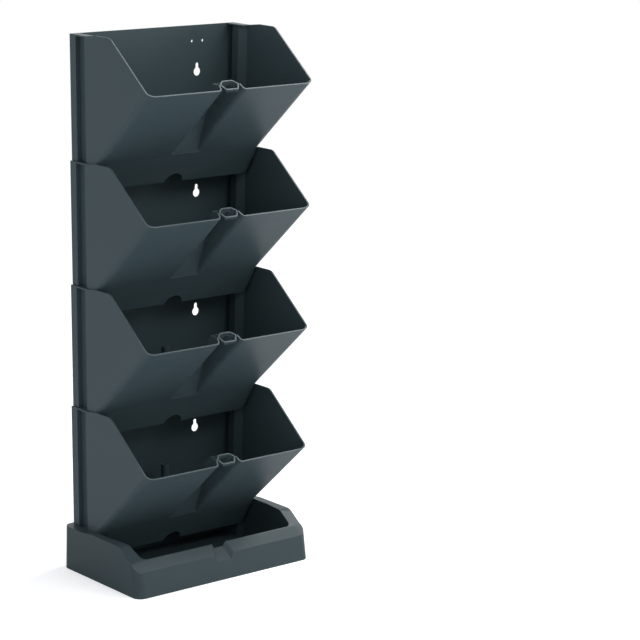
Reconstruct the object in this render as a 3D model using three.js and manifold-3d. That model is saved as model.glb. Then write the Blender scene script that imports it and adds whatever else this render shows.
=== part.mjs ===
// A vertical planter tower: a water tray on the floor and four planting tiers stacked on it.
// Lengths are in millimetres, +Z is up, the front faces -Y and the flat back faces +Y.
// The origin is on the floor, under the middle of the tower.

import * as THREE from 'three';
import { mergeVertices } from 'three/addons/utils/BufferGeometryUtils.js';
import Module from 'manifold-3d';

const wasm = await Module();
wasm.setup();

// The stack
const tierCount = 4;
const tierPitch = 186.5;
const seatGap = 0.3;
const overrun = 5;
const skimGap = 0.05;

// One tier, measured from the top of its back face
const tierWidth = 300.4;
const wallThickness = 2.5;
const pitchDraft = 3.1;
const frontFlare = 1.3;
const rimReach = 196.5;
const rimDrop = 71.6;
const footReach = 76;
const footDrop = 182;
const skirtReach = 51;
const skirtDrop = 225;
const frontCornerRadius = 15;

// The top edge of a tier, from the back to the rim
const shoulderRise = 2.9;
const shoulderStart = 66;
const shoulderEnd = 96;
const shoulderRadius = 18;

// The two rear columns that carry the tier above
const seatSpan = 272;
const seatDepth = 42;
const seatThickness = 2.2;
const skirtClearance = 0.7;
const grooveSetback = 15;
const grooveDepth = 8;
const grooveFloor = 11;
const grooveRunout = 12;

// The tier's floor, its overflow pipe and the arch under its front edge
const floorDrop = 208.5;
const floorThickness = 2.5;
const pipeSetback = 33;
const pipeWidth = 12;
const pipeBore = 7;
const pipeHeight = 99.5;
const archWidth = 31.4;
const archHeight = 13;

// Holes in the back face
const keyholeSpacing = 161.4;
const keyholeDrop = 70.6;
const keyholeHeadRadius = 6.6;
const keyholeSlotWidth = 6.4;
const keyholeRise = 13.6;
const tieHoleSpacing = 20;
const tieHoleDrop = 24;
const tieHoleRadius = 2.1;

// The valley that runs down the middle of the sloping front
const valleyLength = 158;
const valleyMouth = 27;
const valleyBed = 19.5;
const valleyDepth = 19.2;
const creaseRadius = 7;

// How the valley narrows and runs out, as shares of the four sizes above, from over the rim down
const valleyShares = [
  { run: -0.08, mouth: 0.77, bed: 1, depth: 1 },
  { run: 0.36, mouth: 0.77, bed: 1, depth: 1 },
  { run: 0.55, mouth: 0.8, bed: 1.03, depth: 0.7 },
  { run: 0.78, mouth: 0.85, bed: 1.07, depth: 0.346 },
  { run: 0.92, mouth: 0.9, bed: 1.13, depth: 0.13 },
  { run: 1, mouth: 0.93, bed: 1.2, depth: 0.02 },
];

// The six-sided tool collar that stands in the mouth of the valley
const collarFrontHalf = 10;
const collarMiddleHalf = 20.6;
const collarRearHalf = 14.5;
const collarFrontDepth = 1.8;
const collarMiddleDepth = 11;
const collarRearDepth = 17;
const collarWall = 1.8;
const collarHeight = 7.6;
const collarBarHeight = 2.2;
const collarBarDepth = 9.5;
const collarPlateTop = 5;
const collarPlateStart = 8;
const collarPlateEnd = 13.5;
const collarPlateHalf = 21;
const collarPlateSink = 1.2;
const collarClearHalf = 18.5;
const collarClearDepth = 18;
const collarClearTop = 6.6;

// The water tray
const trayFootWidth = 325.4;
const trayFootFront = 190;
const trayFootBack = 7.5;
const trayHeight = 66.3;
const traySideDraft = 1;
const trayFrontDraft = 10;
const trayCornerRadius = 14;
const trayFloor = 3;
const trayInsideWidth = 296;
const trayInsideBack = 2.5;
const trayTaperStart = 100;
const trayInsideFront = 169.5;
const trayFrontWidth = 280;
const trayInsideRadius = 9;

// The tray's rim: its side walls dip to a low front rim that slants outward
const rimSideEnd = 138;
const rimFrontHeight = 52.5;
const rimFrontDrop = 13;
const rimFrontRun = 13.9;
const rimBendRadius = 20;
const outerSideEnd = 141;
const outerLowEnd = 170;
const outerLowHeight = 48;

// The pouring notch in the middle of the front rim
const spoutInnerHalf = 8.2;
const spoutOuterHalf = 12.4;
const spoutFlare = 4.5;
const spoutInnerHeight = 45.5;
const spoutOuterHeight = 29;
const spoutOuterReach = 185;

// Facets of the round stretches
const cornerSteps = 6;
const creaseSteps = 4;
const bendSteps = 3;
const shoulderSteps = 5;
const roundSteps = 20;

// Lines worked out from the sizes above
const tierHalf = tierWidth / 2;
const seatHalf = seatSpan / 2;
const columnDrop = tierPitch - seatGap;
const slopeRun = rimReach - footReach;
const slopeDrop = footDrop - rimDrop;
const slopeLength = Math.hypot(slopeRun, slopeDrop);
const slopeSin = slopeDrop / slopeLength;
const slopeCos = slopeRun / slopeLength;
const towerShift = (rimReach - trayFootBack) / 2;

// The frame of the sloping wall: x across, y into the pocket, z up the slope, zero at the rim
const slopeFrame = new THREE.Matrix4()
  .makeBasis(
    new THREE.Vector3(1, 0, 0),
    new THREE.Vector3(0, slopeSin, slopeCos),
    new THREE.Vector3(0, -slopeCos, slopeSin),
  )
  .setPosition(0, -rimReach, -rimDrop);

// Outlines drawn in (y, z) and run along x
const acrossFrame = new THREE.Matrix4().makeBasis(
  new THREE.Vector3(0, 1, 0),
  new THREE.Vector3(0, 0, 1),
  new THREE.Vector3(1, 0, 0),
);

// Outlines drawn in (x, z) and run towards the front
const forwardFrame = new THREE.Matrix4().makeBasis(
  new THREE.Vector3(1, 0, 0),
  new THREE.Vector3(0, 0, 1),
  new THREE.Vector3(0, -1, 0),
);

function toSolid(geometry) {
  const bare = geometry.clone();
  bare.deleteAttribute('normal');
  bare.deleteAttribute('uv');
  const merged = mergeVertices(bare);
  const vertProperties = new Float32Array(merged.getAttribute('position').array);
  const triVerts = new Uint32Array(merged.getIndex().array);
  return new wasm.Manifold(new wasm.Mesh({ numProp: 3, vertProperties, triVerts }));
}

function toGeometry(solid) {
  const { vertProperties, triVerts } = solid.getMesh();
  const geometry = new THREE.BufferGeometry();
  geometry.setAttribute('position', new THREE.BufferAttribute(vertProperties, 3));
  geometry.setIndex(new THREE.BufferAttribute(triVerts, 1));
  geometry.computeVertexNormals();
  return geometry;
}

function block(xRange, yRange, zRange) {
  const low = new THREE.Vector3(Math.min(...xRange), Math.min(...yRange), Math.min(...zRange));
  const high = new THREE.Vector3(Math.max(...xRange), Math.max(...yRange), Math.max(...zRange));
  const size = high.clone().sub(low);
  const middle = low.add(high).multiplyScalar(0.5);
  const geometry = new THREE.BoxGeometry(size.x, size.y, size.z);
  return toSolid(geometry.translate(middle.x, middle.y, middle.z));
}

function extruded(shape, depth, frame, start) {
  const geometry = new THREE.ExtrudeGeometry(shape, {
    depth,
    bevelEnabled: false,
    curveSegments: roundSteps,
  });
  geometry.translate(0, 0, start);
  return toSolid(geometry.applyMatrix4(frame));
}

function upright(radius, x, y, bottom, top) {
  const geometry = new THREE.CylinderGeometry(radius, radius, top - bottom, roundSteps);
  geometry.rotateX(Math.PI / 2);
  return toSolid(geometry.translate(x, y, (bottom + top) / 2));
}

// Fills a flat outline with triangles that turn the same way as the outline.
function cap(outline) {
  const triangles = THREE.ShapeUtils.triangulateShape(outline, []);
  if (THREE.ShapeUtils.isClockWise(outline)) return triangles.map(([a, b, c]) => [c, b, a]);
  return triangles;
}

function signedVolume(points, triangles) {
  let sum = 0;
  for (const [a, b, c] of triangles) {
    sum += points[a].dot(points[b].clone().cross(points[c]));
  }
  return sum;
}

// Skins a row of flat outlines, all with the same number of points, into one closed solid.
function loft(sections, place) {
  const count = sections[0].outline.length;
  const points = sections.flatMap(({ outline, station }) => outline.map((point) => place(point, station)));
  const triangles = [];
  for (let row = 0; row + 1 < sections.length; row += 1) {
    for (let column = 0; column < count; column += 1) {
      const next = (column + 1) % count;
      const [a, b] = [row * count + column, row * count + next];
      const [c, d] = [b + count, a + count];
      const straight = points[a].distanceTo(points[c]) < points[b].distanceTo(points[d]);
      triangles.push(...(straight ? [[a, b, c], [a, c, d]] : [[a, b, d], [b, c, d]]));
    }
  }
  const last = (sections.length - 1) * count;
  for (const [a, b, c] of cap(sections[0].outline)) triangles.push([c, b, a]);
  for (const [a, b, c] of cap(sections.at(-1).outline)) triangles.push([last + a, last + b, last + c]);
  const outward = signedVolume(points, triangles) > 0;
  const geometry = new THREE.BufferGeometry().setFromPoints(points);
  geometry.setIndex(triangles.flatMap((triangle) => (outward ? triangle : triangle.reverse())));
  return toSolid(geometry);
}

// An outline whose corners with a radius are arcs, so that outlines of one kind match in count.
function rounded(corners, steps) {
  return corners.flatMap(({ at, radius }, index) => {
    if (!radius) return [at];
    const before = corners.at(index - 1).at.clone().sub(at).normalize();
    const after = corners[(index + 1) % corners.length].at.clone().sub(at).normalize();
    const half = Math.acos(before.dot(after)) / 2;
    const centre = before.clone().add(after).normalize().multiplyScalar(radius / Math.sin(half)).add(at);
    const start = before.clone().multiplyScalar(radius / Math.tan(half)).add(at).sub(centre);
    const end = after.clone().multiplyScalar(radius / Math.tan(half)).add(at).sub(centre);
    const turn = Math.atan2(start.cross(end), start.dot(end));
    return Array.from({ length: steps + 1 }, (_, step) =>
      start.clone().rotateAround(new THREE.Vector2(), (turn * step) / steps).add(centre));
  });
}

// Moves an open line of points to its left by one distance, with mitred corners.
function offsetLine(points, distance) {
  const normals = points.slice(1).map((point, index) => {
    const along = point.clone().sub(points[index]).normalize();
    return new THREE.Vector2(-along.y, along.x);
  });
  return points.map((point, index) => {
    const first = normals[Math.max(index - 1, 0)];
    const second = normals[Math.min(index, normals.length - 1)];
    const mitre = first.clone().add(second).divideScalar(1 + first.dot(second));
    return mitre.multiplyScalar(distance).add(point);
  });
}

// Half the tier's width at a place on its side, with the draft and the flare.
function sideHalf(y, z) {
  return tierHalf + (pitchDraft * z) / tierPitch - (frontFlare * y) / rimReach;
}

function frontReach(z) {
  if (z >= -footDrop) return footReach + ((z + footDrop) * slopeRun) / slopeDrop;
  return footReach + ((z + footDrop) * (footReach - skirtReach)) / (skirtDrop - footDrop);
}

function tierPlan(z, inset) {
  const back = -inset;
  const front = inset / slopeSin - frontReach(z);
  const radius = frontCornerRadius - inset;
  const backHalf = sideHalf(back, z) - inset;
  const frontHalf = sideHalf(front, z) - inset;
  return rounded(
    [
      { at: new THREE.Vector2(backHalf, back) },
      { at: new THREE.Vector2(-backHalf, back) },
      { at: new THREE.Vector2(-frontHalf, front), radius },
      { at: new THREE.Vector2(frontHalf, front), radius },
    ],
    cornerSteps,
  );
}

function tierBlank(inset) {
  const heights = [overrun + inset, -footDrop, -skirtDrop - inset];
  const sections = heights.map((z) => ({ outline: tierPlan(z, inset), station: z }));
  return loft(sections, (point, z) => new THREE.Vector3(point.x, point.y, z));
}

// One side of the valley's outline: the rounded crease, then the foot of the side.
function valleySide(mouth, bed, depth) {
  const angle = Math.atan2(depth, mouth - bed);
  const centre = new THREE.Vector2(mouth + creaseRadius * Math.tan(angle / 2), creaseRadius);
  const crease = Array.from({ length: creaseSteps + 1 }, (_, step) => {
    const turn = (angle * step) / creaseSteps;
    return new THREE.Vector2(-Math.sin(turn), -Math.cos(turn)).multiplyScalar(creaseRadius).add(centre);
  });
  return [...crease, new THREE.Vector2(bed, depth)];
}

function valley(inset) {
  const sections = valleyShares.map(({ run, mouth, bed, depth }) => {
    const right = valleySide(mouth * valleyMouth, bed * valleyBed, depth * valleyDepth);
    const left = right.map((point) => new THREE.Vector2(-point.x, point.y));
    const outline = offsetLine([...left, ...right.reverse()], inset);
    return { outline, station: -run * valleyLength };
  });
  return loft(sections, (point, height) =>
    new THREE.Vector3(point.x, point.y - skimGap, height).applyMatrix4(slopeFrame));
}

// The groove down the side of a rear column, drawn as depth below the side face against y.
function groove(side, inset) {
  const floorEnd = -grooveSetback - grooveFloor;
  const line = [
    new THREE.Vector2(-overrun, -grooveSetback),
    new THREE.Vector2(grooveDepth, -grooveSetback),
    new THREE.Vector2(grooveDepth, floorEnd),
    new THREE.Vector2(-overrun, floorEnd - (grooveRunout * (grooveDepth + overrun)) / grooveDepth),
  ];
  const outline = offsetLine(line, inset);
  const heights = [inset - seatThickness, -skirtDrop - overrun];
  const sections = heights.map((z) => ({ outline, station: z }));
  return loft(sections, (point, z) =>
    new THREE.Vector3(side * (sideHalf(point.y, z) - point.x), point.y, z));
}

// Below its columns the tier narrows to a skirt that drops between the seats of the tier below.
function skirtCorner(side, inset) {
  const inside = seatHalf - skirtClearance - inset;
  return block(
    [side * inside, side * (tierHalf + overrun)],
    [-seatDepth - skirtClearance - inset, overrun],
    [-columnDrop + inset, -skirtDrop - 2 * overrun],
  );
}

// The skirt's back steps in, to pass inside the back wall of the tier below.
function skirtBack(inset) {
  return block(
    [-seatHalf, seatHalf],
    [-wallThickness - skirtClearance - inset, overrun],
    [-columnDrop + inset, -skirtDrop - 3 * overrun],
  );
}

function tierForm(inset) {
  let form = tierBlank(inset).subtract(valley(inset));
  for (const side of [-1, 1]) {
    form = form.subtract(groove(side, inset)).subtract(skirtCorner(side, inset));
  }
  return form.subtract(skirtBack(inset));
}

// Everything above the tier's top edge.
function aboveEdge() {
  const slope = (rimDrop + shoulderRise) / (rimReach - shoulderEnd);
  const tangent = shoulderRadius * Math.tan(Math.atan(slope) / 2);
  const corners = [
    { at: new THREE.Vector2(overrun, 0) },
    { at: new THREE.Vector2(-seatDepth, 0) },
    { at: new THREE.Vector2(-shoulderStart, shoulderRise) },
    { at: new THREE.Vector2(-shoulderEnd - tangent, shoulderRise), radius: shoulderRadius },
    { at: new THREE.Vector2(-rimReach, -rimDrop) },
    { at: new THREE.Vector2(-2 * rimReach, -rimDrop) },
    { at: new THREE.Vector2(-2 * rimReach, rimDrop) },
    { at: new THREE.Vector2(overrun, rimDrop) },
  ];
  const shape = new THREE.Shape(rounded(corners, shoulderSteps));
  return extruded(shape, tierWidth + 4 * overrun, acrossFrame, -tierHalf - 2 * overrun);
}

function seatPlates() {
  return [-1, 1].map((side) => block(
    [side * seatHalf, side * (tierHalf + overrun)],
    [-seatDepth, overrun],
    [-seatThickness, 2 * overrun],
  ));
}

// The hollow of the pocket above the floor, and that of the skirt below it.
function tierHollows() {
  let inside = tierForm(wallThickness);
  for (const plate of seatPlates()) inside = inside.subtract(plate);
  const wide = [-tierWidth, tierWidth];
  const deep = [-2 * rimReach, rimReach];
  const floorUnder = -floorDrop - floorThickness;
  const pocket = inside.subtract(block(wide, deep, [-floorDrop, -2 * skirtDrop]));
  const skirt = inside.subtract(block(wide, deep, [floorUnder, skirtDrop]));
  return [pocket, skirt];
}

function collarOutline() {
  return [
    new THREE.Vector2(-collarFrontHalf, collarFrontDepth),
    new THREE.Vector2(collarFrontHalf, collarFrontDepth),
    new THREE.Vector2(collarMiddleHalf, collarMiddleDepth),
    new THREE.Vector2(collarRearHalf, collarRearDepth),
    new THREE.Vector2(-collarRearHalf, collarRearDepth),
    new THREE.Vector2(-collarMiddleHalf, collarMiddleDepth),
  ];
}

// The collar's opening: its outline moved in by its wall, closed by going once round and on.
function collarOpening() {
  const outline = collarOutline();
  const round = [outline.at(-1), ...outline, outline[0]];
  return offsetLine(round, collarWall).slice(1, -1);
}

function slopeBlock(half, depths, heights) {
  const geometry = toGeometry(block([-half, half], depths, heights));
  return toSolid(geometry.applyMatrix4(slopeFrame));
}

// The collar is a thin bar at its front, deeper at its rear, and a plate joins it to the valley's sides.
function collar() {
  const ring = extruded(new THREE.Shape(collarOutline()), collarHeight, slopeFrame, -collarHeight);
  const underBar = slopeBlock(
    2 * collarMiddleHalf,
    [-overrun, collarBarDepth],
    [-collarBarHeight, -collarHeight - overrun],
  );
  const plate = slopeBlock(
    collarPlateHalf,
    [collarPlateStart, collarPlateEnd],
    [-collarHeight - collarPlateSink, -collarPlateTop],
  );
  const opening = extruded(
    new THREE.Shape(collarOpening()),
    2 * collarHeight + 2 * overrun,
    slopeFrame,
    -2 * collarHeight - overrun,
  );
  return ring.subtract(underBar).add(plate).subtract(opening);
}

// The valley's rear wall is cut down behind the collar, which stands free of it.
function collarClearing() {
  return slopeBlock(
    collarClearHalf,
    [collarClearDepth, valleyDepth + wallThickness + overrun],
    [-collarClearTop, overrun + collarHeight],
  );
}

function keyhole(x) {
  const half = keyholeSlotWidth / 2;
  const mouth = Math.asin(half / keyholeHeadRadius);
  const shape = new THREE.Shape();
  const headHeight = -keyholeDrop;
  const slotHeight = headHeight + keyholeRise - half;
  shape.absarc(x, headHeight, keyholeHeadRadius, Math.PI / 2 + mouth, Math.PI * 2.5 - mouth);
  shape.absarc(x, slotHeight, half, 0, Math.PI);
  return extruded(shape, 2 * overrun, forwardFrame, -overrun);
}

function tieHole(x) {
  const shape = new THREE.Shape();
  shape.absarc(x, -tieHoleDrop, tieHoleRadius, 0, Math.PI * 2);
  return extruded(shape, 2 * overrun, forwardFrame, -overrun);
}

function backHoles() {
  const holes = [];
  for (const side of [-1, 1]) {
    const middle = (side * keyholeSpacing) / 2;
    holes.push(keyhole(middle), tieHole(middle - tieHoleSpacing / 2), tieHole(middle + tieHoleSpacing / 2));
  }
  return holes;
}

function frontArch() {
  const shape = new THREE.Shape();
  shape.absellipse(0, -skirtDrop, archWidth / 2, archHeight, 0, Math.PI * 2);
  return extruded(shape, rimReach, forwardFrame, skirtReach - 2 * overrun);
}

function tierSolid() {
  const floorUnder = -floorDrop - floorThickness;
  let solid = tierForm(0);
  for (const hollow of tierHollows()) solid = solid.subtract(hollow);
  solid = solid.subtract(aboveEdge()).subtract(collarClearing()).add(collar());
  const pipeTop = pipeHeight - floorDrop;
  solid = solid.add(upright(pipeWidth / 2, 0, -pipeSetback, -floorDrop - floorThickness / 2, pipeTop));
  solid = solid.subtract(upright(pipeBore / 2, 0, -pipeSetback, floorUnder - overrun, pipeTop + overrun));
  for (const hole of [...backHoles(), frontArch()]) solid = solid.subtract(hole);
  return solid;
}

// The tray's outer form, drawn in from its foot to its top on every side.
function trayForm(inset) {
  const half = trayFootWidth / 2;
  const heights = [-inset, trayHeight + shoulderRise + overrun];
  const sections = heights.map((z) => {
    const share = z / trayHeight;
    const back = trayFootBack - inset;
    const front = trayFrontDraft * share + inset - trayFootFront;
    const side = half - traySideDraft * share - inset;
    const radius = trayCornerRadius - inset;
    const outline = rounded(
      [
        { at: new THREE.Vector2(side, back), radius },
        { at: new THREE.Vector2(-side, back), radius },
        { at: new THREE.Vector2(-side, front), radius },
        { at: new THREE.Vector2(side, front), radius },
      ],
      cornerSteps,
    );
    return { outline, station: z };
  });
  return loft(sections, (point, z) => new THREE.Vector3(point.x, point.y, z));
}

// The inside of the tray in plan, less the two rear corners that carry the lowest tier.
function trayInside(grown, bottom) {
  const half = trayInsideWidth / 2 + grown;
  const front = -trayInsideFront - grown;
  const frontHalf = trayFrontWidth / 2 + grown;
  const radius = trayInsideRadius + grown;
  const outline = rounded(
    [
      { at: new THREE.Vector2(half, grown - trayInsideBack) },
      { at: new THREE.Vector2(-half, grown - trayInsideBack) },
      { at: new THREE.Vector2(-half, -trayTaperStart) },
      { at: new THREE.Vector2(-frontHalf, front), radius },
      { at: new THREE.Vector2(frontHalf, front), radius },
      { at: new THREE.Vector2(half, -trayTaperStart) },
    ],
    cornerSteps,
  );
  const top = trayHeight + 2 * overrun;
  let inside = extruded(new THREE.Shape(outline), top - bottom, new THREE.Matrix4(), bottom);
  for (const side of [-1, 1]) {
    inside = inside.subtract(block(
      [side * (seatHalf + grown), side * (half + overrun)],
      [grown - seatDepth, overrun + grown],
      [bottom - overrun, trayHeight + 3 * overrun],
    ));
  }
  return inside;
}

// The line that the tray's rim follows, closed above: level, then down to the front and over it.
function rimOutline(sideEnd, frontEnd, frontHeight, past) {
  const sideTop = trayHeight + shoulderRise;
  const edgeHeight = rimFrontHeight - rimFrontDrop;
  const share = (past - frontEnd) / (trayInsideFront + rimFrontRun - frontEnd);
  const end = THREE.MathUtils.lerp(frontHeight, edgeHeight, share);
  const corners = [
    { at: new THREE.Vector2(3 * overrun, trayHeight) },
    { at: new THREE.Vector2(-seatDepth, trayHeight) },
    { at: new THREE.Vector2(-shoulderStart, sideTop) },
    { at: new THREE.Vector2(-sideEnd, sideTop), radius: rimBendRadius },
    { at: new THREE.Vector2(-frontEnd, frontHeight), radius: rimBendRadius },
    { at: new THREE.Vector2(-past, end) },
    { at: new THREE.Vector2(-past, 2 * trayHeight) },
    { at: new THREE.Vector2(3 * overrun, 2 * trayHeight) },
  ];
  return rounded(corners, bendSteps);
}

// Everything above the tray's rim, lofted across from the outer line to the inner one and back.
function aboveRim(lowered) {
  const past = trayInsideFront + rimFrontRun + 2 * overrun;
  const inner = rimOutline(rimSideEnd, trayInsideFront, rimFrontHeight, past);
  const outer = rimOutline(outerSideEnd, outerLowEnd, outerLowHeight, past);
  const outerHalf = trayFootWidth / 2 + overrun;
  const innerHalf = trayFrontWidth / 2 + overrun;
  const sections = [
    { outline: outer, station: -outerHalf },
    { outline: inner, station: -innerHalf },
    { outline: inner, station: innerHalf },
    { outline: outer, station: outerHalf },
  ];
  return loft(sections, (point, x) => new THREE.Vector3(x, point.x, point.y - lowered));
}

// The pouring notch, lofted from inside the rim out and down.
function spout(grown) {
  const run = spoutOuterReach - trayInsideFront;
  const sectionAt = (reach) => {
    const share = (reach - trayInsideFront) / run;
    const height = THREE.MathUtils.lerp(spoutInnerHeight, spoutOuterHeight, share) - grown;
    const half = THREE.MathUtils.lerp(spoutInnerHalf, spoutOuterHalf, share) + grown;
    const rise = 2 * trayHeight - height;
    const flare = (spoutFlare * rise) / (rimFrontHeight - spoutInnerHeight);
    const outline = [
      new THREE.Vector2(-half, height),
      new THREE.Vector2(half, height),
      new THREE.Vector2(half + flare, height + rise),
      new THREE.Vector2(-half - flare, height + rise),
    ];
    return { outline, station: -reach };
  };
  const sections = [trayInsideFront - overrun, trayFootFront + overrun].map(sectionAt);
  return loft(sections, (point, y) => new THREE.Vector3(point.x, y, point.y));
}

function traySolid() {
  const wall = wallThickness;
  const under = trayForm(wall)
    .subtract(trayInside(wall, -2 * overrun))
    .subtract(aboveRim(2 * wall))
    .subtract(spout(wall));
  return trayForm(0)
    .subtract(trayInside(0, trayFloor))
    .subtract(aboveRim(0))
    .subtract(spout(0))
    .subtract(under);
}

function mattPlastic() {
  return new THREE.MeshStandardMaterial({ color: 0x3c4548, roughness: 0.62, metalness: 0 });
}

function named(name, geometry, material) {
  const mesh = new THREE.Mesh(geometry, material);
  mesh.name = name;
  return mesh;
}

function buildTower() {
  const tower = new THREE.Group();
  tower.position.set(0, towerShift, 0);
  tower.add(named('water_tray', toGeometry(traySolid()), mattPlastic()));
  const tierGeometry = toGeometry(tierSolid());
  for (let tier = 1; tier <= tierCount; tier += 1) {
    const mesh = named(`planter_tier_${tier}`, tierGeometry, mattPlastic());
    mesh.position.z = trayHeight + tier * tierPitch;
    tower.add(mesh);
  }
  return tower;
}

export default buildTower();
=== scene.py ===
import math

import bmesh
import bpy
from mathutils import Matrix, Vector


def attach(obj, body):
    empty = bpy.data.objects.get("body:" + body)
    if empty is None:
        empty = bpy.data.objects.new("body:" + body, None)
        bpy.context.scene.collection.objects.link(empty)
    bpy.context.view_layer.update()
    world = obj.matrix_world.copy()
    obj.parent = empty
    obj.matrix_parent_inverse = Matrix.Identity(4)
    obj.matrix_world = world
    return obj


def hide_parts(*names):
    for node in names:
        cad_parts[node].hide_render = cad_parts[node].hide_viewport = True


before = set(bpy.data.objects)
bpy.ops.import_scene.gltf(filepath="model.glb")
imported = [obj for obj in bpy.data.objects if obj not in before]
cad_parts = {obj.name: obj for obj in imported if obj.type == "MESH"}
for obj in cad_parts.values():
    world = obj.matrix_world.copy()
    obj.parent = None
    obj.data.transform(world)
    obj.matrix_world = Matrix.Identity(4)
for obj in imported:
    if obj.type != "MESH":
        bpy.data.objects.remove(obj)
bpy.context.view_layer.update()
print("frame loaded:", len(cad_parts), "nodes")

# Sizes below are in millimetres, as a moulder's drawing gives them. A mesh is scaled once, when it is made.
toMetres = 0.001
standOff = 0.05  # the valley's cutter starts this far in front of the face that it cuts
overrun = 5.0  # other cutters reach this far past the faces that they cut


# Outlines

def roundedOutline(corners, steps):
    # Corners are (x, y, radius). A corner with a radius becomes an arc of steps + 1 points.
    outline = []
    for index, (x, y, radius) in enumerate(corners):
        at = Vector((x, y))
        if not radius:
            outline.append(at)
            continue
        before = (Vector(corners[index - 1][:2]) - at).normalized()
        after = (Vector(corners[(index + 1) % len(corners)][:2]) - at).normalized()
        half = math.acos(max(-1.0, min(1.0, before.dot(after)))) / 2
        centre = at + (before + after).normalized() * (radius / math.sin(half))
        first = at + before * (radius / math.tan(half)) - centre
        last = at + after * (radius / math.tan(half)) - centre
        turn = math.atan2(first.x * last.y - first.y * last.x, first.dot(last))
        for step in range(steps + 1):
            angle = turn * step / steps
            c, s = math.cos(angle), math.sin(angle)
            outline.append(centre + Vector((first.x * c - first.y * s, first.x * s + first.y * c)))
    return outline


def offsetLine(points, distance):
    # Moves an open line to its left, with mitred corners.
    normals = []
    for first, second in zip(points, points[1:]):
        along = (second - first).normalized()
        normals.append(Vector((-along.y, along.x)))
    moved = []
    for index, point in enumerate(points):
        first = normals[max(index - 1, 0)]
        second = normals[min(index, len(normals) - 1)]
        moved.append(point + (first + second) * (distance / (1 + first.dot(second))))
    return moved


def shareBetween(low, high, value):
    return (value - low) / (high - low)


def smoothLine(rows, column, at):
    # A smooth curve through the rows' values, with the run in column 0.
    runs = [row[0] for row in rows]
    span = next((i for i in range(len(runs) - 2) if at <= runs[i + 1]), len(runs) - 2)
    share = shareBetween(runs[span], runs[span + 1], at)

    def slope(i):
        low, high = max(i - 1, 0), min(i + 1, len(rows) - 1)
        return (rows[high][column] - rows[low][column]) / (runs[high] - runs[low])

    width = runs[span + 1] - runs[span]
    a, b = rows[span][column], rows[span + 1][column]
    s2, s3 = share ** 2, share ** 3
    curve = a * (2 * s3 - 3 * s2 + 1) + b * (3 * s2 - 2 * s3)
    return curve + width * (slope(span) * (s3 - 2 * s2 + share) + slope(span + 1) * (s3 - s2))


# Solids. The first three functions lay an outline flat, or stand it facing the front or the side.

def flat(point, z):
    return Vector((point.x, point.y, z))


def facingFront(point, y):
    return Vector((point.x, y, point.y))


def facingSide(point, x):
    return Vector((x, point.x, point.y))


def meshObject(name, points, faces):
    mesh = bpy.data.meshes.new(name)
    mesh.from_pydata([Vector(point) * toMetres for point in points], [], faces)
    build = bmesh.new()
    build.from_mesh(mesh)
    bmesh.ops.recalc_face_normals(build, faces=build.faces)
    build.to_mesh(mesh)
    build.free()
    item = bpy.data.objects.new(name, mesh)
    bpy.context.scene.collection.objects.link(item)
    return item


def loft(name, sections, place):
    # Sections are (outline, station), all with as many points. Caps are single faces.
    count = len(sections[0][0])
    points = [place(point, station) for outline, station in sections for point in outline]
    faces = []
    for row in range(len(sections) - 1):
        for column in range(count):
            following = (column + 1) % count
            a, b = row * count + column, row * count + following
            faces.append((a, b, b + count, a + count))
    last = (len(sections) - 1) * count
    faces.append(tuple(range(count))[::-1])
    faces.append(tuple(range(last, last + count)))
    return meshObject(name, points, faces)


def prism(name, outline, place, start, end):
    return loft(name, [(outline, start), (outline, end)], place)


def block(name, xs, ys, zs, place=Vector):
    outline = [Vector((xs[0], ys[0])), Vector((xs[1], ys[0])), Vector((xs[1], ys[1])), Vector((xs[0], ys[1]))]
    return prism(name, outline, lambda point, z: place((point.x, point.y, z)), zs[0], zs[1])


def circle(x, y, radius, steps):
    turns = [2 * math.pi * step / steps for step in range(steps)]
    return [Vector((x + radius * math.cos(turn), y + radius * math.sin(turn))) for turn in turns]


def arc(x, y, radius, start, sweep, steps):
    turns = [start + sweep * step / steps for step in range(steps + 1)]
    return [Vector((x, y)) + Vector((math.cos(turn), math.sin(turn))) * radius for turn in turns]


def bake(item):
    # Replaces an object's mesh with the result of its modifiers, which then come off.
    bpy.context.view_layer.update()
    evaluated = item.evaluated_get(bpy.context.evaluated_depsgraph_get())
    mesh = bpy.data.meshes.new_from_object(evaluated)
    item.modifiers.clear()
    item.data = mesh
    return item


def cut(item, cutter, operation="DIFFERENCE"):
    step = item.modifiers.new("cut", "BOOLEAN")
    step.operation = operation
    step.solver = "MANIFOLD"
    step.object = cutter
    bake(item)
    bpy.data.objects.remove(cutter)
    return item


def join(item, added):
    return cut(item, added, "UNION")


# The planter tier, in its own frame: zero at the top of its back face, -Y towards the rim

tier = {
    "pitch": 186.5, "width": 300.4, "wall": 2.5, "draft": 3.1, "flare": 1.3,
    "rimReach": 196.5, "rimDrop": 71.6, "footReach": 76.0, "footDrop": 182.0,
    "skirtReach": 51.0, "skirtDrop": 225.0, "corner": 15.0,
    "shoulderRise": 2.9, "shoulderStart": 66.0, "shoulderEnd": 96.0, "shoulderRadius": 18.0,
    "seatSpan": 272.0, "seatDepth": 42.0, "seatThickness": 2.2, "seatGap": 0.3, "skirtClearance": 0.7,
    "grooveSetback": 15.0, "grooveDepth": 8.0, "grooveFloor": 11.0, "grooveRunout": 12.0,
    "floorDrop": 208.5, "floorThickness": 2.5,
    "pipeSetback": 33.0, "pipeWidth": 12.0, "pipeBore": 7.0, "pipeHeight": 99.5,
    "archWidth": 31.4, "archHeight": 13.0,
    "cornerSteps": 14, "shoulderSteps": 12, "roundSteps": 48,
}
run = tier["rimReach"] - tier["footReach"]
fall = tier["footDrop"] - tier["rimDrop"]
slopeSin = fall / math.hypot(run, fall)
slopeCos = run / math.hypot(run, fall)

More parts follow.
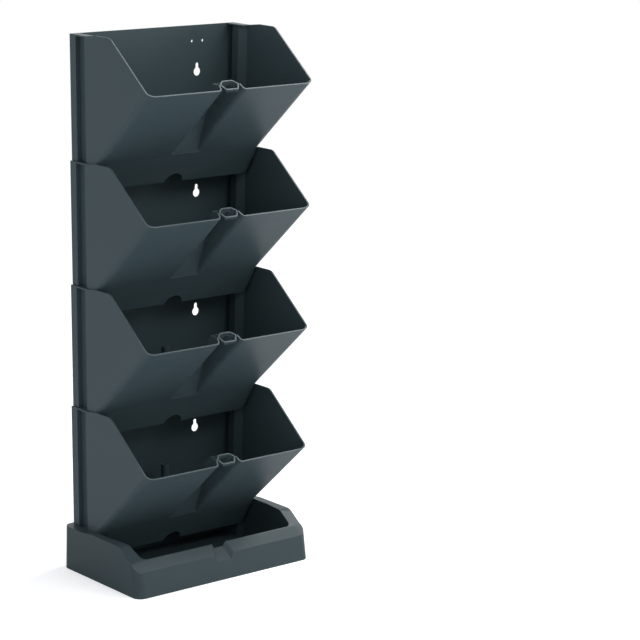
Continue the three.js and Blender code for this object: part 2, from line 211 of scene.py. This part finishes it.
valley = {
    "length": 158.0, "mouth": 20.0, "bed": 14.0, "depth": 23.0, "crease": 7.0,
    # where the valley runs out, the crease takes up no more than this share of its low walls
    "creaseShare": 0.7,
    "creaseSteps": 9, "rows": 30,
    # run, mouth, bed and depth as shares of the sizes above
    "shares": [
        (-0.08, 1.0, 1.0, 1.0), (0.56, 1.0, 1.0, 1.0), (0.72, 1.04, 1.18, 0.66),
        (0.86, 1.11, 1.4, 0.32), (0.95, 1.18, 1.54, 0.11), (1.0, 1.24, 1.63, 0.02),
    ],
}

collar = {
    "frontHalf": 11.0, "middleHalf": 17.6, "rearHalf": 9.5,
    "frontDepth": 2.0, "middleDepth": 13.0, "rearDepth": 20.6,
    "frontRadius": 1.2, "middleRadius": 3.5, "rearRadius": 7.0, "leastRadius": 0.8,
    "cornerSteps": 6,
    "wall": 2.4, "height": 12.5, "barHeight": 5.5, "barDepth": 10.5, "lean": 1.4,
    # behind the collar the valley's walls are cut level, from this depth and height on
    "levelDepth": 12.5, "levelTop": -2.4, "levelHalf": 22.0,
}

backHoles = {
    "spacing": 161.4, "keyholeDrop": 70.6, "headRadius": 6.6, "slotWidth": 6.4, "keyholeRise": 13.6,
    "tieSpacing": 20.0, "tieDrop": 24.0, "tieRadius": 2.1,
}


def sideHalf(y, z):
    return tier["width"] / 2 + tier["draft"] * z / tier["pitch"] - tier["flare"] * y / tier["rimReach"]


def frontReach(z):
    if z >= -tier["footDrop"]:
        return tier["footReach"] + (z + tier["footDrop"]) * run / fall
    taper = (tier["footReach"] - tier["skirtReach"]) / (tier["skirtDrop"] - tier["footDrop"])
    return tier["footReach"] + (z + tier["footDrop"]) * taper


def onSlope(place):
    # A point in the sloping wall's frame: x across, y into the pocket, z up the slope, zero at the rim.
    x, depth, height = place
    y = -tier["rimReach"] + depth * slopeSin - height * slopeCos
    return Vector((x, y, -tier["rimDrop"] + depth * slopeCos + height * slopeSin))


def tierPlan(z, inset):
    back = -inset
    front = inset / slopeSin - frontReach(z)
    radius = tier["corner"] - inset
    backHalf = sideHalf(back, z) - inset
    frontHalf = sideHalf(front, z) - inset
    corners = [
        (backHalf, back, 0), (-backHalf, back, 0), (-frontHalf, front, radius), (frontHalf, front, radius),
    ]
    return roundedOutline(corners, tier["cornerSteps"])


def tierBlank(inset):
    heights = [overrun + inset, -tier["footDrop"], -tier["skirtDrop"] - inset]
    sections = [(tierPlan(z, inset), z) for z in heights]
    return loft("tier blank", sections, flat)


def valleySide(mouth, bed, depth):
    angle = math.atan2(depth, mouth - bed)
    wallLength = math.hypot(depth, mouth - bed)
    radius = min(valley["crease"], valley["creaseShare"] * wallLength / math.tan(angle / 2))
    centre = Vector((mouth + radius * math.tan(angle / 2), radius))
    crease = []
    for step in range(valley["creaseSteps"] + 1):
        turn = angle * step / valley["creaseSteps"]
        crease.append(centre - Vector((math.sin(turn), math.cos(turn))) * radius)
    return crease + [Vector((bed, depth))]


def valleyCutter(inset):
    rows = valley["shares"]
    sections = []
    for row in range(valley["rows"] + 1):
        at = rows[0][0] + (rows[-1][0] - rows[0][0]) * row / valley["rows"]
        mouth = smoothLine(rows, 1, at) * valley["mouth"]
        bed = smoothLine(rows, 2, at) * valley["bed"]
        depth = smoothLine(rows, 3, at) * valley["depth"]
        right = valleySide(mouth, bed, depth)
        left = [Vector((-point.x, point.y)) for point in right]
        sections.append((offsetLine(left + right[::-1], inset), -at * valley["length"]))
    return loft("valley", sections, lambda point, height: onSlope((point.x, point.y - standOff, height)))


def grooveCutter(side, inset):
    floorEnd = -tier["grooveSetback"] - tier["grooveFloor"]
    runout = tier["grooveRunout"] * (tier["grooveDepth"] + overrun) / tier["grooveDepth"]
    line = [
        Vector((-overrun, -tier["grooveSetback"])), Vector((tier["grooveDepth"], -tier["grooveSetback"])),
        Vector((tier["grooveDepth"], floorEnd)), Vector((-overrun, floorEnd - runout)),
    ]
    outline = offsetLine(line, inset)
    heights = [inset - tier["seatThickness"], -tier["skirtDrop"] - overrun]
    sections = [(outline, z) for z in heights]
    return loft("groove", sections,
                lambda point, z: Vector((side * (sideHalf(point.y, z) - point.x), point.y, z)))


def columnEnd(inset):
    return tier["seatGap"] - tier["pitch"] + inset


def skirtCutter(side, inset):
    inside = tier["seatSpan"] / 2 - tier["skirtClearance"] - inset
    xs = sorted((side * inside, side * (tier["width"] / 2 + overrun)))
    front = -tier["seatDepth"] - tier["skirtClearance"] - inset
    return block("skirt corner", xs, (front, overrun), (-tier["skirtDrop"] - 2 * overrun, columnEnd(inset)))


def skirtBack(inset):
    # Below the columns the back steps in, to pass inside the back of the tier below.
    reach = -tier["wall"] - tier["skirtClearance"] - inset
    wide = (-tier["seatSpan"] / 2, tier["seatSpan"] / 2)
    return block("skirt back", wide, (reach, overrun), (-tier["skirtDrop"] - 3 * overrun, columnEnd(inset)))


def tierForm(inset):
    form = cut(tierBlank(inset), valleyCutter(inset))
    for side in (-1, 1):
        cut(form, grooveCutter(side, inset))
        cut(form, skirtCutter(side, inset))
    return cut(form, skirtBack(inset))


def aboveEdge():
    # The space over the pocket's edge, seen from the side: flat at the back, then down to the rim.
    slope = (tier["rimDrop"] + tier["shoulderRise"]) / (tier["rimReach"] - tier["shoulderEnd"])
    tangent = tier["shoulderRadius"] * math.tan(math.atan(slope) / 2)
    corners = [
        (overrun, 0, 0), (-tier["seatDepth"], 0, 0), (-tier["shoulderStart"], tier["shoulderRise"], 0),
        (-tier["shoulderEnd"] - tangent, tier["shoulderRise"], tier["shoulderRadius"]),
        (-tier["rimReach"], -tier["rimDrop"], 0), (-2 * tier["rimReach"], -tier["rimDrop"], 0),
        (-2 * tier["rimReach"], tier["rimDrop"], 0), (overrun, tier["rimDrop"], 0),
    ]
    outline = roundedOutline(corners, tier["shoulderSteps"])
    half = tier["width"] / 2 + 2 * overrun
    return prism("above the edge", outline, facingSide, -half, half)


def hollow(part):
    # The inside of the pocket, or that of the skirt under its floor.
    inside = tierForm(tier["wall"])
    seatDepths, seatHeights = (-tier["seatDepth"], overrun), (-tier["seatThickness"], 2 * overrun)
    for side in (-1, 1):
        xs = sorted((side * tier["seatSpan"] / 2, side * (tier["width"] / 2 + overrun)))
        cut(inside, block("seat plate", xs, seatDepths, seatHeights))
    wide, deep = (-tier["width"], tier["width"]), (-2 * tier["rimReach"], tier["rimReach"])
    if part == "pocket":
        return cut(inside, block("under", wide, deep, (-2 * tier["skirtDrop"], -tier["floorDrop"])))
    floorUnder = -tier["floorDrop"] - tier["floorThickness"]
    return cut(inside, block("over", wide, deep, (floorUnder, tier["skirtDrop"])))


def collarOutline(lean, inset):
    right = [
        (collar["frontHalf"], collar["frontDepth"] - lean, collar["frontRadius"]),
        (collar["middleHalf"], collar["middleDepth"], collar["middleRadius"]),
        (collar["rearHalf"], collar["rearDepth"], collar["rearRadius"]),
    ]
    left = [(-x, depth, radius) for x, depth, radius in right[::-1]]
    corners = [Vector(corner[:2]) for corner in right + left]
    radii = [corner[2] for corner in right + left]
    moved = offsetLine([corners[-1], *corners, corners[0]], inset)[1:-1]
    rounded = [(place.x, place.y, max(radius - inset, collar["leastRadius"]))
               for place, radius in zip(moved, radii)]
    return roundedOutline(rounded, collar["cornerSteps"])


def collarSolid():
    # The front face leans out a little towards its lower edge. The pocket's edge plane trims the top later.
    slope = lambda point, height: onSlope((point.x, point.y, height))
    low, high = collarOutline(collar["lean"], 0), collarOutline(0, 0)
    bottom, barBottom = -collar["height"], -collar["barHeight"]
    ring = loft("collar", [(low, bottom), (low, barBottom), (high, 0), (high, overrun)], slope)
    wide = (-2 * collar["middleHalf"], 2 * collar["middleHalf"])
    deep = (-overrun, collar["barDepth"])
    cut(ring, block("under the bar", wide, deep, (bottom - overrun, barBottom), onSlope))
    opening = collarOutline(0, collar["wall"])
    return cut(ring, prism("opening", opening, slope, 2 * bottom, 2 * overrun))


def levelCutter():
    # The space over the valley's walls behind the collar: its floor is level.
    far = 2 * valley["depth"]
    depths = [collar["levelDepth"], far, far, collar["levelDepth"]]
    sunk = collar["levelTop"] - (far - collar["levelDepth"]) * slopeCos / slopeSin
    heights = [collar["levelTop"], sunk, 2 * overrun, 2 * overrun]
    outline = [Vector(pair) for pair in zip(depths, heights)]
    half = collar["levelHalf"]
    return prism("level", outline, lambda point, x: onSlope((x, point.x, point.y)), -half, half)


def keyholeCutter(x):
    # A round for the screw's head, then the top of the slot above it.
    half, radius = backHoles["slotWidth"] / 2, backHoles["headRadius"]
    slotAngle = math.asin(half / radius)
    head = -backHoles["keyholeDrop"]
    slot = head + backHoles["keyholeRise"] - half
    steps = tier["roundSteps"]
    outline = arc(x, head, radius, math.pi / 2 + slotAngle, 2 * math.pi - 2 * slotAngle, steps)
    outline += arc(x, slot, half, 0, math.pi, steps // 2)
    return prism("keyhole", outline, facingFront, -overrun, overrun)


def link(tree, outputSocket, inputSocket):
    tree.links.new(outputSocket, inputSocket)


def repeatTree():
    # Geometry Nodes: copies of one object in a row, as a real mesh. Holes and tiers both use it.
    tree = bpy.data.node_groups.new("rowOfCopies", "GeometryNodeTree")
    tree.interface.new_socket(name="Geometry", in_out="OUTPUT", socket_type="NodeSocketGeometry")
    inputs = {"Item": "Object", "Count": "Int", "Start": "Vector", "Step": "Vector", "Finish": "Material"}
    for name, kind in inputs.items():
        tree.interface.new_socket(name=name, in_out="INPUT", socket_type=f"NodeSocket{kind}")
    given = tree.nodes.new("NodeGroupInput")
    result = tree.nodes.new("NodeGroupOutput")
    places = tree.nodes.new("GeometryNodeMeshLine")
    places.mode = "OFFSET"
    item = tree.nodes.new("GeometryNodeObjectInfo")
    copies = tree.nodes.new("GeometryNodeInstanceOnPoints")
    real = tree.nodes.new("GeometryNodeRealizeInstances")
    finish = tree.nodes.new("GeometryNodeSetMaterial")
    link(tree, given.outputs["Item"], item.inputs["Object"])
    link(tree, given.outputs["Count"], places.inputs["Count"])
    link(tree, given.outputs["Start"], places.inputs["Start Location"])
    link(tree, given.outputs["Step"], places.inputs["Offset"])
    link(tree, places.outputs["Mesh"], copies.inputs["Points"])
    link(tree, item.outputs["Geometry"], copies.inputs["Instance"])
    link(tree, copies.outputs["Instances"], real.inputs["Geometry"])
    link(tree, real.outputs["Geometry"], finish.inputs["Geometry"])
    link(tree, given.outputs["Finish"], finish.inputs["Material"])
    link(tree, finish.outputs["Geometry"], result.inputs["Geometry"])
    return tree


def setInput(modifier, name, value):
    for socket in modifier.node_group.interface.items_tree:
        if socket.name == name and socket.in_out == "INPUT":
            modifier[socket.identifier] = value


def rowOfCopies(name, item, count, start, step, finish=None):
    host = meshObject(name, [], [])
    modifier = host.modifiers.new("row", "NODES")
    modifier.node_group = copyTree
    setInput(modifier, "Item", item)
    setInput(modifier, "Count", count)
    setInput(modifier, "Start", Vector(start) * toMetres)
    setInput(modifier, "Step", Vector(step) * toMetres)
    setInput(modifier, "Finish", finish)
    return bake(host)


def tieHoleCutters():
    # One pin, then a pair of pins, then the two pairs.
    outline = circle(0, 0, backHoles["tieRadius"], tier["roundSteps"] // 2)
    pin = prism("pin", outline, facingFront, -overrun, overrun)
    gap = backHoles["tieSpacing"]
    pair = rowOfCopies("pin pair", pin, 2, (-gap / 2, 0, -backHoles["tieDrop"]), (gap, 0, 0))
    spread = backHoles["spacing"]
    pins = rowOfCopies("tie pins", pair, 2, (-spread / 2, 0, 0), (spread, 0, 0))
    for used in (pin, pair):
        bpy.data.objects.remove(used)
    return pins


def archCutter():
    steps = tier["roundSteps"]
    outline = []
    for step in range(steps):
        turn = 2 * math.pi * step / steps
        x = tier["archWidth"] / 2 * math.cos(turn)
        outline.append(Vector((x, tier["archHeight"] * math.sin(turn) - tier["skirtDrop"])))
    return prism("arch", outline, facingFront, -tier["rimReach"], 2 * overrun - tier["skirtReach"])


def upright(name, radius, bottom, top):
    outline = circle(0, -tier["pipeSetback"], radius, tier["roundSteps"])
    return prism(name, outline, flat, bottom, top)


def mouldTier():
    solid = tierForm(0)
    cut(solid, hollow("pocket"))
    cut(solid, hollow("skirt"))
    cut(solid, levelCutter())
    join(solid, collarSolid())
    cut(solid, aboveEdge())
    pipeTop = tier["pipeHeight"] - tier["floorDrop"]
    floorMiddle = -tier["floorDrop"] - tier["floorThickness"] / 2
    join(solid, upright("pipe", tier["pipeWidth"] / 2, floorMiddle, pipeTop))
    cut(solid, upright("bore", tier["pipeBore"] / 2, floorMiddle - overrun, pipeTop + overrun))
    for side in (-1, 1):
        cut(solid, keyholeCutter(side * backHoles["spacing"] / 2))
    cut(solid, tieHoleCutters())
    cut(solid, archCutter())
    return solid


# The water tray, with its foot on the floor

tray = {
    "footWidth": 325.4, "footFront": 190.0, "footBack": 7.5, "height": 66.3,
    "sideDraft": 1.0, "frontDraft": 10.0, "corner": 14.0, "floor": 3.0,
    "insideWidth": 296.0, "insideBack": 2.5, "taperStart": 100.0, "insideFront": 169.5,
    "frontWidth": 280.0, "insideRadius": 9.0,
    "sideEnd": 138.0, "frontHeight": 52.5, "frontDrop": 13.0, "frontRun": 13.9,
    "outerSideEnd": 141.0, "outerLowEnd": 170.0, "outerLowHeight": 48.0, "bendRadius": 20.0,
    "cornerSteps": 14, "bendSteps": 10,
}

spout = {
    "innerHalf": 8.2, "outerHalf": 12.4, "flare": 4.5,
    "innerHeight": 45.5, "outerHeight": 29.0, "outerReach": 185.0,
}


def trayForm(inset):
    sections = []
    for z in (-inset, tray["height"] + tier["shoulderRise"] + overrun):
        share = z / tray["height"]
        back = tray["footBack"] - inset
        front = tray["frontDraft"] * share + inset - tray["footFront"]
        half = tray["footWidth"] / 2 - tray["sideDraft"] * share - inset
        radius = tray["corner"] - inset
        corners = [(half, back, radius), (-half, back, radius), (-half, front, radius), (half, front, radius)]
        sections.append((roundedOutline(corners, tray["cornerSteps"]), z))
    return loft("tray blank", sections, flat)


def trayInside(grown, bottom):
    half = tray["insideWidth"] / 2 + grown
    back = grown - tray["insideBack"]
    front = -tray["insideFront"] - grown
    frontHalf = tray["frontWidth"] / 2 + grown
    radius = tray["insideRadius"] + grown
    corners = [
        (half, back, 0), (-half, back, 0), (-half, -tray["taperStart"], 0),
        (-frontHalf, front, radius), (frontHalf, front, radius), (half, -tray["taperStart"], 0),
    ]
    top = tray["height"] + 2 * overrun
    inside = prism("tray inside", roundedOutline(corners, tray["cornerSteps"]), flat, bottom, top)
    postDepths, postHeights = (grown - tier["seatDepth"], overrun + grown), (bottom - overrun, top + overrun)
    for side in (-1, 1):
        xs = sorted((side * (tier["seatSpan"] / 2 + grown), side * (half + overrun)))
        cut(inside, block("seat post", xs, postDepths, postHeights))
    return inside


def aboveRim(lowered):
    # The space over the rim. Its edge bends at one place inside the walls and at another outside them.
    seatTop, sideTop = tray["height"], tray["height"] + tier["shoulderRise"]
    edge = tray["insideFront"] + tray["frontRun"]
    past = edge + 2 * overrun
    edgeHeight = tray["frontHeight"] - tray["frontDrop"]

    def closed(sideEnd, frontEnd, frontHeight):
        drop = (frontHeight - edgeHeight) * (past - frontEnd) / (edge - frontEnd)
        radius = tray["bendRadius"]
        corners = [
            (3 * overrun, seatTop, 0), (-tier["seatDepth"], seatTop, 0), (-tier["shoulderStart"], sideTop, 0),
            (-sideEnd, sideTop, radius), (-frontEnd, frontHeight, radius),
            (-past, frontHeight - drop, 0), (-past, 2 * seatTop, 0), (3 * overrun, 2 * seatTop, 0),
        ]
        return roundedOutline(corners, tray["bendSteps"])

    inner = closed(tray["sideEnd"], tray["insideFront"], tray["frontHeight"])
    outer = closed(tray["outerSideEnd"], tray["outerLowEnd"], tray["outerLowHeight"])

    outerHalf = tray["footWidth"] / 2 + overrun
    innerHalf = tray["frontWidth"] / 2 + overrun
    sections = [(outer, -outerHalf), (inner, -innerHalf), (inner, innerHalf), (outer, outerHalf)]
    return loft("above the rim", sections, lambda point, x: Vector((x, point.x, point.y - lowered)))


def spoutCutter(grown):
    sections = []
    for reach in (tray["insideFront"] - overrun, tray["footFront"] + overrun):
        share = shareBetween(tray["insideFront"], spout["outerReach"], reach)
        height = spout["innerHeight"] + (spout["outerHeight"] - spout["innerHeight"]) * share - grown
        half = spout["innerHalf"] + (spout["outerHalf"] - spout["innerHalf"]) * share + grown
        rise = 2 * tray["height"] - height
        flare = spout["flare"] * rise / (tray["frontHeight"] - spout["innerHeight"])
        outline = [Vector((-half, height)), Vector((half, height)),
                   Vector((half + flare, height + rise)), Vector((-half - flare, height + rise))]
        sections.append((outline, -reach))
    return loft("spout", sections, facingFront)


def mouldTray():
    wall = tier["wall"]
    under = trayForm(wall)
    cut(under, trayInside(wall, -2 * overrun))
    cut(under, aboveRim(2 * wall))
    cut(under, spoutCutter(wall))
    solid = trayForm(0)
    cut(solid, trayInside(0, tray["floor"]))
    cut(solid, aboveRim(0))
    cut(solid, spoutCutter(0))
    return cut(solid, under)


# Finishing a moulding: flat faces are joined, sharp edges get the small radius a tool leaves

edges = {
    "radius": 0.25, "segments": 2, "sharpDegrees": 28.0, "flatDegrees": 0.6, "weld": 0.05, "shortest": 0.3,
}


def markSharp(build):
    # An edge that meets a very short one stays sharp, because the radius would fold over there.
    shortest = edges["shortest"] * toMetres
    weight = build.edges.layers.float.new("bevel_weight_edge")
    sharpAngle = math.radians(edges["sharpDegrees"])
    sharp = {edge for edge in build.edges if edge.calc_face_angle(0) > sharpAngle}

    def folds(edge, corner):
        plain = [near for near in corner.link_edges if near not in sharp]
        inLine = len(corner.link_edges) - len(plain) == 2
        return any(near.calc_length() < shortest for near in (plain if inLine else [*plain, edge]))

    folding = sharp
    while folding:
        folding = {edge for edge in sharp if any(folds(edge, corner) for corner in edge.verts)}
        sharp -= folding
    for edge in sharp:
        edge[weight] = 1.0


def softenEdges(item):
    build = bmesh.new()
    build.from_mesh(item.data)
    bmesh.ops.remove_doubles(build, verts=build.verts, dist=edges["weld"] * toMetres)
    bmesh.ops.dissolve_limit(build, angle_limit=math.radians(edges["flatDegrees"]),
                             verts=build.verts, edges=build.edges)
    markSharp(build)
    build.to_mesh(item.data)
    build.free()
    bevel = item.modifiers.new("edge radius", "BEVEL")
    bevel.width = edges["radius"] * toMetres
    bevel.segments = edges["segments"]
    bevel.limit_method = "WEIGHT"
    bevel.use_clamp_overlap = False
    bake(item)
    item.data.shade_smooth()
    weighted = item.modifiers.new("flat faces stay flat", "WEIGHTED_NORMAL")
    weighted.keep_sharp = True
    return bake(item)


# Finishes

class Socket:
    # Wraps an output socket, so that shader maths reads as plain sums.
    def __init__(self, nodes, source):
        self.nodes, self.source = nodes, source

    def maths(self, operation, first, second):
        return self.nodes.add("ShaderNodeMath", {"operation": operation}, {0: first, 1: second}).out()

    def __add__(self, other):
        return self.maths("ADD", self, other)

    __radd__ = __add__

    def __sub__(self, other):
        return self.maths("SUBTRACT", self, other)

    def __rsub__(self, other):
        return self.maths("SUBTRACT", other, self)

    def __mul__(self, other):
        return self.maths("MULTIPLY", self, other)

    __rmul__ = __mul__


class Node:
    def __init__(self, nodes, made):
        self.nodes, self.made = nodes, made

    def out(self, name=0):
        return Socket(self.nodes, self.made.outputs[name])


class Nodes:
    # Adds nodes to one material or world: type, settings, then the values or links of its sockets.
    def __init__(self, material):
        material.use_nodes = True
        self.tree = material.node_tree
        self.tree.nodes.clear()

    def add(self, kind, settings=None, sockets=None):
        made = self.tree.nodes.new(kind)
        for name, value in (settings or {}).items():
            setattr(made, name, value)
        for name, value in (sockets or {}).items():
            if isinstance(value, Socket):
                self.tree.links.new(value.source, made.inputs[name])
            else:
                made.inputs[name].default_value = value
        return Node(self, made)


def grey(level):
    return (level, level, level, 1.0)


plasticLook = {
    "colour": (0.0490, 0.0750, 0.0840, 1.0),
    "dustier": (0.0590, 0.0860, 0.0950, 1.0),
    # the tray's copy of the same plastic is this much darker: painted shade for the lower light there, not a
    # different plastic
    "trayPaintedShade": 0.78,
    # scale, detail and roughness of the noises
    "cloud": (9.0, 3.0, 0.5), "flow": (34.0, 5.0, 0.6), "grain": (1400.0, 2.0, 0.5),
    "roughness": 0.34, "roughnessSpread": 0.10, "specular": 0.2,
    "grainHeight": 0.05, "grainDistance": 0.0002, "dustShare": 0.35,
}


def mattPlastic(name, paintedShade):
    look = plasticLook
    # both colours are scaled by paintedShade; below 1 this paints shade into the colour
    colours = [tuple(part * paintedShade for part in look[key][:3]) + (1.0,) for key in ("colour", "dustier")]
    material = bpy.data.materials.new(name)
    nodes = Nodes(material)
    place = nodes.add("ShaderNodeTexCoord").out("Object")

    def noise(kind):
        scale, detail, rough = look[kind]
        sizes = {"Vector": place, "Scale": scale, "Detail": detail, "Roughness": rough}
        return nodes.add("ShaderNodeTexNoise", None, sizes).out("Fac")

    cloud, flow, grain = noise("cloud"), noise("flow"), noise("grain")
    dust = cloud * look["dustShare"] + flow * look["dustShare"]
    colour = nodes.add("ShaderNodeMix", {"data_type": "RGBA"},
                       {"Factor": dust, "A": colours[0], "B": colours[1]}).out("Result")
    roughness = flow * look["roughnessSpread"] + look["roughness"]
    bump = nodes.add("ShaderNodeBump", None,
                     {"Strength": look["grainHeight"], "Distance": look["grainDistance"], "Height": grain})
    shader = nodes.add("ShaderNodeBsdfPrincipled", None, {
        "Base Color": colour, "Roughness": roughness, "Normal": bump.out("Normal"),
        "Specular IOR Level": look["specular"],
    })
    nodes.add("ShaderNodeOutputMaterial", None, {"Surface": shader.out("BSDF")})
    return material


# Pieces

tierPlastic = mattPlastic("matt anthracite plastic", 1.0)
# The tray gets a darkened copy of the tier plastic, as painted shade.
trayPlastic = mattPlastic("matt anthracite plastic with painted shade for the tray", plasticLook["trayPaintedShade"])
copyTree = repeatTree()

tierMould = softenEdges(mouldTier())
print("tier moulded:", len(tierMould.data.polygons), "faces")
trayMould = softenEdges(mouldTray())
print("tray moulded:", len(trayMould.data.polygons), "faces")

towerShift = (tier["rimReach"] - tray["footBack"]) / 2


def placePiece(mould, name, node, body, height, finish):
    piece = rowOfCopies(name, mould, 1, (0, towerShift, height), (0, 0, 0), finish)
    piece.name = name
    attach(piece, body)
    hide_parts(node)
    return piece


placePiece(trayMould, "tray", "water_tray", "tray", 0, trayPlastic)
for level in range(1, len(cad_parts)):
    placePiece(tierMould, f"tier_{level}", f"planter_tier_{level}", f"tier_{level}",
               tray["height"] + level * tier["pitch"], tierPlastic)
for mould in (tierMould, trayMould):
    bpy.data.objects.remove(mould)
print("pieces placed")


# Floor, light and camera

studio = {
    "floorSize": 40.0, "floorColour": (0.86, 0.86, 0.87, 1.0), "floorLift": 0.5,
    # from here on the floor melts into the white background
    "floorNear": 1.2, "floorFar": 5.0,
    "skyStrength": 0.50, "skyColour": (0.93, 0.96, 1.0, 1.0),
    "aim": (0.0, 0.0, 0.42),
    # place, width, height, power
    "lamps": {
        "side light": ((2.3, -1.6, 0.6), 1.8, 1.4, 15.0),
        "left light": ((-2.4, -0.6, 1.1), 1.2, 1.2, 7.0),
        "front light": ((0.5, -1.3, 1.7), 1.2, 1.0, 14.0),
        "edge light": ((5.0, 0.0, 6.6), 2.2, 2.2, 240.0),
    },
}


def lamp(name, place, width, height, power):
    data = bpy.data.lights.new(name, "AREA")
    data.shape, data.size, data.size_y, data.energy = "RECTANGLE", width, height, power
    item = bpy.data.objects.new(name, data)
    item.location = place
    item.visible_camera = False
    item.rotation_euler = (Vector(studio["aim"]) - Vector(place)).to_track_quat("-Z", "Y").to_euler()
    bpy.context.scene.collection.objects.link(item)


def paleFloor():
    half = studio["floorSize"] / 2 / toMetres
    corners = [(-half, -half, 0), (half, -half, 0), (half, half, 0), (-half, half, 0)]
    floor = meshObject("floor", corners, [(0, 1, 2, 3)])
    material = bpy.data.materials.new("pale floor")
    nodes = Nodes(material)
    lit = nodes.add("ShaderNodeBsdfDiffuse", None, {"Color": studio["floorColour"]})
    lift = nodes.add("ShaderNodeEmission", None, {"Color": grey(1.0), "Strength": studio["floorLift"]})
    lifted = nodes.add("ShaderNodeAddShader", None, {0: lit.out(), 1: lift.out()})
    white = nodes.add("ShaderNodeEmission", None, {"Color": grey(1.0), "Strength": 1.0})
    place = nodes.add("ShaderNodeTexCoord").out("Object")
    distance = nodes.add("ShaderNodeVectorMath", {"operation": "LENGTH"}, {0: place}).out("Value")
    far = (distance - studio["floorNear"]) * (1 / (studio["floorFar"] - studio["floorNear"]))
    inside = nodes.add("ShaderNodeClamp", None, {"Value": far})
    faded = nodes.add("ShaderNodeMixShader", None, {0: inside.out(), 1: lifted.out(), 2: white.out()})
    seen = nodes.add("ShaderNodeLightPath").out("Is Camera Ray")
    mixed = nodes.add("ShaderNodeMixShader", None, {0: seen, 1: lit.out(), 2: faded.out()})
    nodes.add("ShaderNodeOutputMaterial", None, {"Surface": mixed.out()})
    floor.data.materials.append(material)


def paleSky():
    world = bpy.data.worlds.new("studio")
    bpy.context.scene.world = world
    nodes = Nodes(world)
    seen = nodes.add("ShaderNodeLightPath")
    white = nodes.add("ShaderNodeBackground", None, {"Color": grey(1.0), "Strength": 1.0})
    soft = nodes.add("ShaderNodeBackground", None,
                     {"Color": studio["skyColour"], "Strength": studio["skyStrength"]})
    bright = seen.out("Is Camera Ray") + seen.out("Is Glossy Ray") + seen.out("Is Transmission Ray")
    mixed = nodes.add("ShaderNodeMixShader", None, {0: bright, 1: soft.out(), 2: white.out()})
    nodes.add("ShaderNodeOutputWorld", None, {"Surface": mixed.out()})


camera = {
    "place": (-2.17314, -2.89785, 1.21696), "azimuth": 39.961, "elevation": 12.934, "roll": 1.0146,
    "lens": 139.089, "sensor": 36.0, "farthest": 50.0,
}


def photoCamera():
    data = bpy.data.cameras.new("camera")
    data.lens, data.sensor_width, data.sensor_fit = camera["lens"], camera["sensor"], "HORIZONTAL"
    data.clip_end = camera["farthest"]
    item = bpy.data.objects.new("camera", data)
    turn = math.radians(camera["azimuth"])
    dip = math.radians(camera["elevation"])
    ahead = Vector((math.sin(turn) * math.cos(dip), math.cos(turn) * math.cos(dip), -math.sin(dip)))
    right = Vector((math.cos(turn), -math.sin(turn), 0))
    up = right.cross(ahead)
    roll = Matrix.Rotation(math.radians(camera["roll"]), 3, "Z")
    turned = Matrix((right, up, -ahead)).transposed() @ roll
    item.matrix_world = Matrix.Translation(camera["place"]) @ turned.to_4x4()
    bpy.context.scene.collection.objects.link(item)
    bpy.context.scene.camera = item


paleFloor()
paleSky()
for lampName, lampSizes in studio["lamps"].items():
    lamp(lampName, *lampSizes)
photoCamera()
bpy.context.scene.view_settings.view_transform = "Standard"
print("studio ready")
